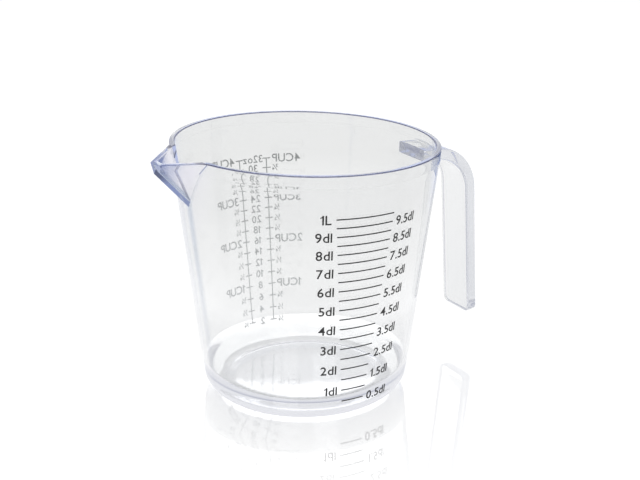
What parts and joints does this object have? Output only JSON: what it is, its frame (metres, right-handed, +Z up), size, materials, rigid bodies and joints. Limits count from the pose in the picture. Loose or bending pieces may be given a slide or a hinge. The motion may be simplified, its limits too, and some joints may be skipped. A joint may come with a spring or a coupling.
{
  "type": "measuring jug",
  "caption": "Clear tapered plastic measuring jug with an upright rim band, a V-shaped spout, an open hook handle, and printed decilitre and cup scales.",
  "frame": {"origin": "middle of the flat base, on the table", "axes": "+Z up along the axis of the tapered body, +X towards the handle, -X towards the spout, the decilitre scale on the -Y side"},
  "size_m": [0.1837, 0.131, 0.129],
  "materials": {
    "clear_plastic": "clear moulded styrene plastic, polished, faintly blue where it is thick",
    "dark_ink": "matt dark grey screen-printed ink",
    "grey_ink": "matt mid-grey screen-printed ink"
  },
  "bodies": {
    "root": {"body": "clear_plastic", "rim_band": "clear_plastic", "spout": "clear_plastic", "handle": "clear_plastic", "decilitre_lines": "dark_ink", "cup_rule_left": "grey_ink", "cup_rule_right": "grey_ink"}
  },
  "joints": []
}
